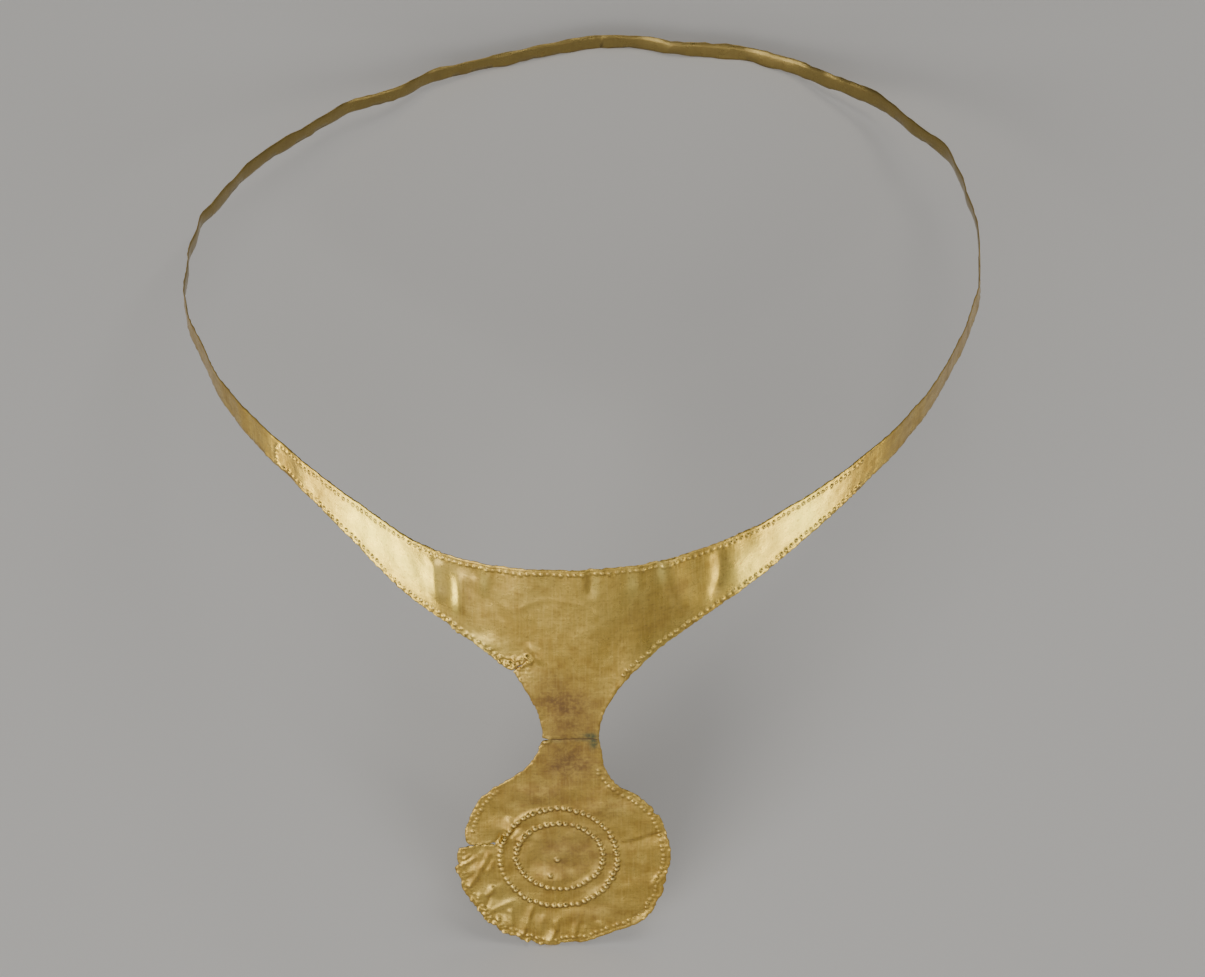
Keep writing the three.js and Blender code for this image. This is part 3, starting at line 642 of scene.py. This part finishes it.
# One way round for all triangles, seen from the outer face
corner = base[triangles]
turn = np.cross(corner[:, 1] - corner[:, 0], corner[:, 2] - corner[:, 0])
out = outward(a, t)
flip = (turn * out[triangles[:, 0]]).sum(axis=1) < 0
triangles[flip] = triangles[flip][:, ::-1]
turn[flip] *= -1
normal = np.zeros_like(base)
for which in range(3):
    np.add.at(normal, triangles[:, which], turn)
normal /= np.linalg.norm(normal, axis=1)[:, None]

# Two faces a sheet's thickness apart, and a rounded rim between them
edges = {}
for tri in triangles.tolist():
    for k in range(3):
        pair = (tri[k], tri[(k + 1) % 3])
        if (pair[1], pair[0]) in edges:
            del edges[pair[1], pair[0]]
        else:
            edges[pair] = True
rim_edges = np.array(list(edges))
count = len(base)
sideways = np.zeros_like(base)
for start, end in rim_edges:
    push = np.cross(base[end] - base[start], normal[start])
    push /= max(np.linalg.norm(push), 1e-9)
    sideways[start] += push
    sideways[end] += push
rim_points = np.unique(rim_edges)
sideways[rim_points] /= np.linalg.norm(sideways[rim_points], axis=1)[:, None]
rim_index = np.full(count, -1)
rim_index[rim_points] = 2 * count + np.arange(len(rim_points))
outer = base + normal * SHEET / 2 * FACE_SHARE
inner_side = base - normal * SHEET / 2 * FACE_SHARE
outer[rim_points] -= normal[rim_points] * SHEET * RIM_THINNING
inner_side[rim_points] += normal[rim_points] * SHEET * RIM_THINNING
bulge = base[rim_points] + sideways[rim_points] * RIM_BULGE
outer[rim_points] -= sideways[rim_points] * RIM_TUCK
inner_side[rim_points] -= sideways[rim_points] * RIM_TUCK
s, e = rim_edges.T
faces = np.vstack([
    triangles, triangles[:, ::-1] + count,
    np.c_[e, s, rim_index[s]], np.c_[e, rim_index[s], rim_index[e]],
    np.c_[rim_index[e], rim_index[s], s + count], np.c_[rim_index[e], s + count, e + count],
])
points = np.clip(np.vstack([outer, inner_side, bulge]), frame_low, frame_high)

mesh = bpy.data.meshes.new("sheet_gold")
mesh.from_pydata((points * MM).tolist(), [], faces.tolist())
mesh.polygons.foreach_set("use_smooth", np.ones(len(faces), bool))
mesh.update()
piece = bpy.data.objects.new("sheet_gold", mesh)
bpy.context.scene.collection.objects.link(piece)


def give(name, values):
    """A value for the material at each point of both faces and the rim."""
    all_values = np.concatenate([values, values, values[rim_points]]).astype(np.float32)
    mesh.attributes.new(name, "FLOAT", "POINT").data.foreach_set("value", all_values)


def patches(table):
    """Soft patches on the sheet: strength, along, down, and the reach both ways."""
    total = np.zeros(len(a))
    for strength, x, y, across, down in table:
        total += strength * np.exp(-((a - x) / across)**2 - ((t - y) / down)**2)
    return total


# Brown soiling, with painted shade on the right-facing flanks of the plate's upright creases; the
# green stain at the crack; and painted highlights on the arms and on the left-facing flanks of the
# plate's upright ridges
SOIL_AND_SHADE = [
    [0.8, -4, 34.5, 6, 3], [0.6, -2.5, 39.5, 8, 6], [0.85, -3, 51.5, 6, 3.4],
    [0.4, -6, 29, 5, 3.5], [0.45, -3, 46, 6, 5], [0.6, -3, 76, 9, 8], [0.35, 2, 93, 6, 3],
    [0.3, 5, 64, 5, 3], [0.3, -9, 61, 9, 4], [0.35, -4, 57, 12, 6], [0.4, -23.4, 9, 1.1, 5],
    [0.4, 20.5, 8, 2.2, 3.4], [0.3, 29, 7, 1.5, 5], [0.3, -29, 10, 1, 4], [0.2, 1, 3.5, 0.8, 3],
    [0.2, 14, 14, 6, 5],
]
VERDIGRIS = [
    [1, 1.6, 43.7, 1.6, 0.7], [1.1, 2.4, 45.8, 1, 1.6], [0.6, 0.2, 44.9, 2, 0.5],
    [0.45, -5.5, 45, 1.6, 0.5],
]
# Painted highlights: paler patches on the arms, narrow strips on the left-facing flanks of the
# plate's upright ridges, and a few lighter patches elsewhere
PAINTED_HIGHLIGHTS = [
    [1, -48, 5, 12, 7], [0.6, -34, 8, 6, 6], [1, 52, 5, 8, 6], [0.6, 36, 10, 7, 7],
    [0.4, -21, 21, 6, 3.5], [0.35, 18, 24, 7, 5], [0.2, -18, 90, 6, 6], [0.8, -26.2, 10, 1, 5],
    [0.4, -20, 4, 1, 4], [0.6, 16.5, 3, 1, 3], [0.14, 5, 9, 22, 9], [0.4, 10.2, 4.5, 1.3, 3.5],
    [0.35, 2.8, 4, 0.8, 3],
]
DOT_TOP_HEIGHT = 0.4

give("soil_and_shade", np.clip(patches(SOIL_AND_SHADE), 0, 1))
give("verdigris", np.clip(patches(VERDIGRIS), 0, 1))
give("painted_highlight", np.clip(patches(PAINTED_HIGHLIGHTS), 0, 1))
# The dots' height, which sets the painted highlight on their tops
give("dot", np.clip(bumps / DOT_TOP_HEIGHT, 0, 1))
give("foot_dirt_and_shade", feet_dirt_and_shade)

# Place on the sheet in metres, and 0 on the outer face or rim and 1 on the inner face
inner_face = np.r_[np.zeros(count), np.ones(count), np.zeros(len(rim_points))]
flat_place = np.c_[a, t]
flat_place = np.concatenate([flat_place, flat_place, flat_place[rim_points]])
sheet_place = np.c_[flat_place * MM, inner_face]
mesh.attributes.new("sheet", "FLOAT_VECTOR", "POINT").data.foreach_set(
    "vector", sheet_place.astype(np.float32).ravel())

# Colours of the gold, of what lies on it, and of painted shade and painted highlights
GOLD_DEEP, GOLD_LIGHT, GOLD_DULL = (0.6, 0.395, 0.08), (0.69, 0.485, 0.115), (0.37, 0.22, 0.045)
GRAIN_LIGHT, GRAIN_DARK = (0.8, 0.58, 0.16), (0.34, 0.2, 0.05)
SHADED_INNER_GOLD, PAINTED_HIGHLIGHT_GOLD = (0.27, 0.21, 0.08), (0.92, 0.79, 0.22)
BROWN_SOIL_AND_SHADE, GREEN_STAIN, CRACK_DARK = (0.2, 0.11, 0.045), (0.07, 0.1, 0.05), (0.1, 0.05, 0.03)
SPECK_BROWN, FLECK_BROWN = (0.24, 0.14, 0.05), (0.3, 0.18, 0.06)
# Painted highlight on the dots' tops; dirt and painted shade round their feet
DOT_TOP_HIGHLIGHT, DOT_FOOT_DIRT_AND_SHADE = (0.98, 0.76, 0.26), (0.12, 0.065, 0.02)
# The dark line along the crack, in metres: how far down, its soft edge, and where its ends fade
CRACK_DOWN, CRACK_WANDER, CRACK_EDGE = 0.0447, 0.0006, (0.00008, 0.0002)
CRACK_LEFT, CRACK_RIGHT = (-0.0078, -0.006), (0.0034, 0.003)


def gold_material():
    """Aged gold: soiled, stained at the crack, with a fine grain and scratches, and with painted
    shade and painted highlights.
    """
    material = bpy.data.materials.new("aged_gold")
    material.use_nodes = True
    nodes, links = material.node_tree.nodes, material.node_tree.links
    shader = nodes["Principled BSDF"]

    def node(kind, **values):
        """A node with its settings and socket values."""
        made = nodes.new(kind)
        for key, value in values.items():
            if hasattr(made, key):
                setattr(made, key, value)
            else:
                made.inputs[key].default_value = value
        return made

    def attribute(name):
        return node("ShaderNodeAttribute", attribute_name=name)

    sheet = attribute("sheet").outputs["Vector"]

    def pattern(scale, detail, stretch=(1, 1, 1)):
        """Noise over the flat sheet, drawn out along it or down it."""
        place = node("ShaderNodeMapping")
        place.inputs["Scale"].default_value = stretch
        links.new(sheet, place.inputs["Vector"])
        made = node("ShaderNodeTexNoise", Scale=scale, Detail=detail, Roughness=0.55)
        links.new(place.outputs["Vector"], made.inputs["Vector"])
        return made.outputs["Fac"]

    def ramp(value, low, high, a=0.0, b=1.0):
        """Maps low to a and high to b."""
        made = node("ShaderNodeMapRange")
        made.inputs["From Min"].default_value = low
        made.inputs["From Max"].default_value = high
        made.inputs["To Min"].default_value = a
        made.inputs["To Max"].default_value = b
        links.new(value, made.inputs["Value"])
        return made.outputs["Result"]

    def math_node(kind, x, y):
        made = node("ShaderNodeMath", operation=kind)
        for socket, value in zip(made.inputs, (x, y)):
            if isinstance(value, (int, float)):
                socket.default_value = value
            else:
                links.new(value, socket)
        return made.outputs["Value"]

    def mix(factor, x, y):
        """Goes from colour x to colour y by the factor."""
        made = node("ShaderNodeMix", data_type="RGBA")
        links.new(factor, made.inputs[0])
        for socket, value in ((made.inputs[6], x), (made.inputs[7], y)):
            if isinstance(value, tuple):
                socket.default_value = (*value, 1)
            else:
                links.new(value, socket)
        return made.outputs[2]

    broad = pattern(90, 4)
    cloud = pattern(330, 5)
    fine = pattern(1500, 4)
    grit = pattern(4200, 2)
    upright = pattern(2400, 3, (1, 0.05, 1))
    level = pattern(2400, 3, (0.06, 1, 1))
    colour = mix(ramp(broad, 0.35, 0.65), GOLD_DEEP, GOLD_LIGHT)
    colour = mix(ramp(cloud, 0.42, 0.68, 0, 0.8), colour, GOLD_DULL)
    colour = mix(ramp(upright, 0.45, 0.75, 0, 0.5), colour, GRAIN_LIGHT)
    colour = mix(ramp(level, 0.5, 0.75, 0, 0.4), colour, GRAIN_DARK)
    parts = node("ShaderNodeSeparateXYZ")
    links.new(sheet, parts.inputs["Vector"])
    along, down, inside = (parts.outputs[axis] for axis in "XYZ")
    # Painted shade: the inner face is a darker, duller gold
    colour = mix(ramp(inside, 0, 1, 0, 0.8), colour, SHADED_INNER_GOLD)
    # Painted highlight: paler gold on the arms and ridges, broken up by the cloud noise
    wear_and_sheen = math_node("MULTIPLY", attribute("painted_highlight").outputs["Fac"], ramp(cloud, 0.3, 0.7, 0.5, 0.9))
    colour = mix(wear_and_sheen, colour, PAINTED_HIGHLIGHT_GOLD)
    # Brown soiling, which also paints shade on the right-facing flanks of the plate's creases
    soil_and_shade_noise = math_node(
        "ADD", ramp(cloud, 0.3, 0.66, 0.2, 0.58), ramp(fine, 0.35, 0.65, 0.16, 0.56))
    soiled_and_shaded = math_node("MULTIPLY", attribute("soil_and_shade").outputs["Fac"], soil_and_shade_noise)
    colour = mix(soiled_and_shaded, colour, BROWN_SOIL_AND_SHADE)
    green = math_node(
        "MULTIPLY", attribute("verdigris").outputs["Fac"], ramp(fine, 0.35, 0.6, 0.6, 1))
    colour = mix(green, colour, GREEN_STAIN)
    wander = math_node("MULTIPLY", math_node("SUBTRACT", cloud, 0.5), CRACK_WANDER)
    from_crack = math_node("SUBTRACT", math_node("ADD", down, wander), CRACK_DOWN)
    crack_line = ramp(math_node("ABSOLUTE", from_crack, 0), *CRACK_EDGE, 1, 0)
    crack_line = math_node("MULTIPLY", crack_line, ramp(along, *CRACK_LEFT))
    crack_line = math_node("MULTIPLY", crack_line, ramp(along, *CRACK_RIGHT))
    colour = mix(math_node("MULTIPLY", crack_line, 0.85), colour, CRACK_DARK)
    speck = ramp(grit, 0.62, 0.72, 0, 0.6)
    colour = mix(speck, colour, SPECK_BROWN)
    colour = mix(ramp(fine, 0.55, 0.72, 0, 0.6), colour, FLECK_BROWN)
    # Painted highlight: lighter gold on the dots' tops
    dot_top_highlight = math_node("MULTIPLY", attribute("dot").outputs["Fac"], 0.55)
    colour = mix(dot_top_highlight, colour, DOT_TOP_HIGHLIGHT)
    # Dirt and painted shade round the dots' feet
    foot_dirt_and_shade = math_node("MULTIPLY", attribute("foot_dirt_and_shade").outputs["Fac"], ramp(fine, 0.3, 0.6, 0.65, 1))
    colour = mix(foot_dirt_and_shade, colour, DOT_FOOT_DIRT_AND_SHADE)
    links.new(colour, shader.inputs["Base Color"])

    rough = ramp(cloud, 0.3, 0.7, 0.24, 0.36)
    rough = math_node("ADD", rough, math_node("MULTIPLY", soiled_and_shaded, 0.22))
    rough = math_node("ADD", rough, math_node("MULTIPLY", green, 0.3))
    rough = math_node("ADD", rough, math_node("MULTIPLY", speck, 0.2))
    links.new(rough, shader.inputs["Roughness"])
    metal = math_node("SUBTRACT", 1.0, math_node("MULTIPLY", soiled_and_shaded, 0.35))
    metal = math_node("SUBTRACT", metal, math_node("MULTIPLY", green, 0.5))
    links.new(metal, shader.inputs["Metallic"])

    # Small roughness of the surface: fine grain, upright scratches and grit
    normal = None
    for height, strength, distance in (
            (fine, 0.45, 0.00007), (pattern(1300, 2, (1, 0.12, 1)), 0.25, 0.00005),
            (grit, 0.3, 0.00003)):
        bump = node("ShaderNodeBump", Strength=strength, Distance=distance)
        links.new(height, bump.inputs["Height"])
        if normal is not None:
            links.new(normal, bump.inputs["Normal"])
        normal = bump.outputs["Normal"]
    links.new(normal, shader.inputs["Normal"])
    return material


mesh.materials.append(gold_material())
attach(piece, "root")
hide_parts("diadem")

# Floor
bpy.ops.mesh.primitive_plane_add(size=6, location=(0, 0, 0))
floor = bpy.context.object
floor.name = "floor"
floor_material = bpy.data.materials.new("pale_floor")
floor_material.use_nodes = True
floor_shader = floor_material.node_tree.nodes["Principled BSDF"]
floor_shader.inputs["Base Color"].default_value = (0.72, 0.71, 0.69, 1)
floor_shader.inputs["Roughness"].default_value = 0.85
floor.data.materials.append(floor_material)

# Soft studio light
world = bpy.data.worlds.new("studio")
bpy.context.scene.world = world
world.use_nodes = True
world.node_tree.nodes["Background"].inputs["Color"].default_value = (0.9, 0.93, 1, 1)
world.node_tree.nodes["Background"].inputs["Strength"].default_value = 0.15


def soft_light(name, at, target, size, radiance, beam=120, colour=(1, 0.97, 0.92)):
    """A rectangular lamp of the given brightness, whatever its size and its beam's angle."""
    half = math.radians(beam / 2)
    lamp = bpy.data.lights.new(name, "AREA")
    lamp.shape = "RECTANGLE"
    lamp.size, lamp.size_y = size
    lamp.spread = 2 * half
    lamp.energy = radiance * math.pi * size[0] * size[1] * (1 - half / math.tan(half))
    lamp.color = colour
    made = bpy.data.objects.new(name, lamp)
    made.location = at
    made.rotation_euler = (Vector(target) - Vector(at)).to_track_quat("-Z", "Y").to_euler()
    made.visible_camera = False
    bpy.context.scene.collection.objects.link(made)


soft_light("key", (-0.56, -0.84, 0.44), (0, -0.04, 0.04), (0.8, 0.84), 3.4)
soft_light("second", (0.5, -0.74, 0.63), (0, -0.04, 0.04), (0.45, 0.4), 2.1)
soft_light("front", (0, -1.2, 0.22), (0, -0.05, 0.03), (0.8, 0.36), 1.5)
soft_light("right", (0.8, -0.72, 0.16), (0.05, -0.03, 0.05), (0.4, 0.27), 2.1)
soft_light("top", (0.3, 0.5, 1.2), (0, 0, 0.03), (0.7, 0.7), 3.5, beam=150)

# Small cards low beside the arms, which would mirror the bare floor without them
GOLD_CARD = (1, 0.93, 0.42)
soft_light("left card", (-0.132, -0.078, 0.024), (-0.043, -0.038, 0.074), (0.09, 0.034), 9,
           beam=60, colour=GOLD_CARD)
soft_light("right card", (0.132, -0.08, 0.025), (0.045, -0.038, 0.073), (0.08, 0.03), 7,
           beam=60, colour=GOLD_CARD)

# Camera, at the photo's viewing angle
TARGET = Vector((0.00411, -0.030496, 0.074686))
ELEVATION, DISTANCE = math.radians(69.402), 1.04
camera_data = bpy.data.cameras.new("camera")
camera_data.lens = 150
camera_data.sensor_width = 36
camera_data.clip_start = 0.01
camera = bpy.data.objects.new("camera", camera_data)
towards = Vector((0, math.cos(ELEVATION), -math.sin(ELEVATION)))
camera.location = TARGET - towards * DISTANCE
camera.rotation_euler = towards.to_track_quat("-Z", "Y").to_euler()
bpy.context.scene.collection.objects.link(camera)
bpy.context.scene.camera = camera
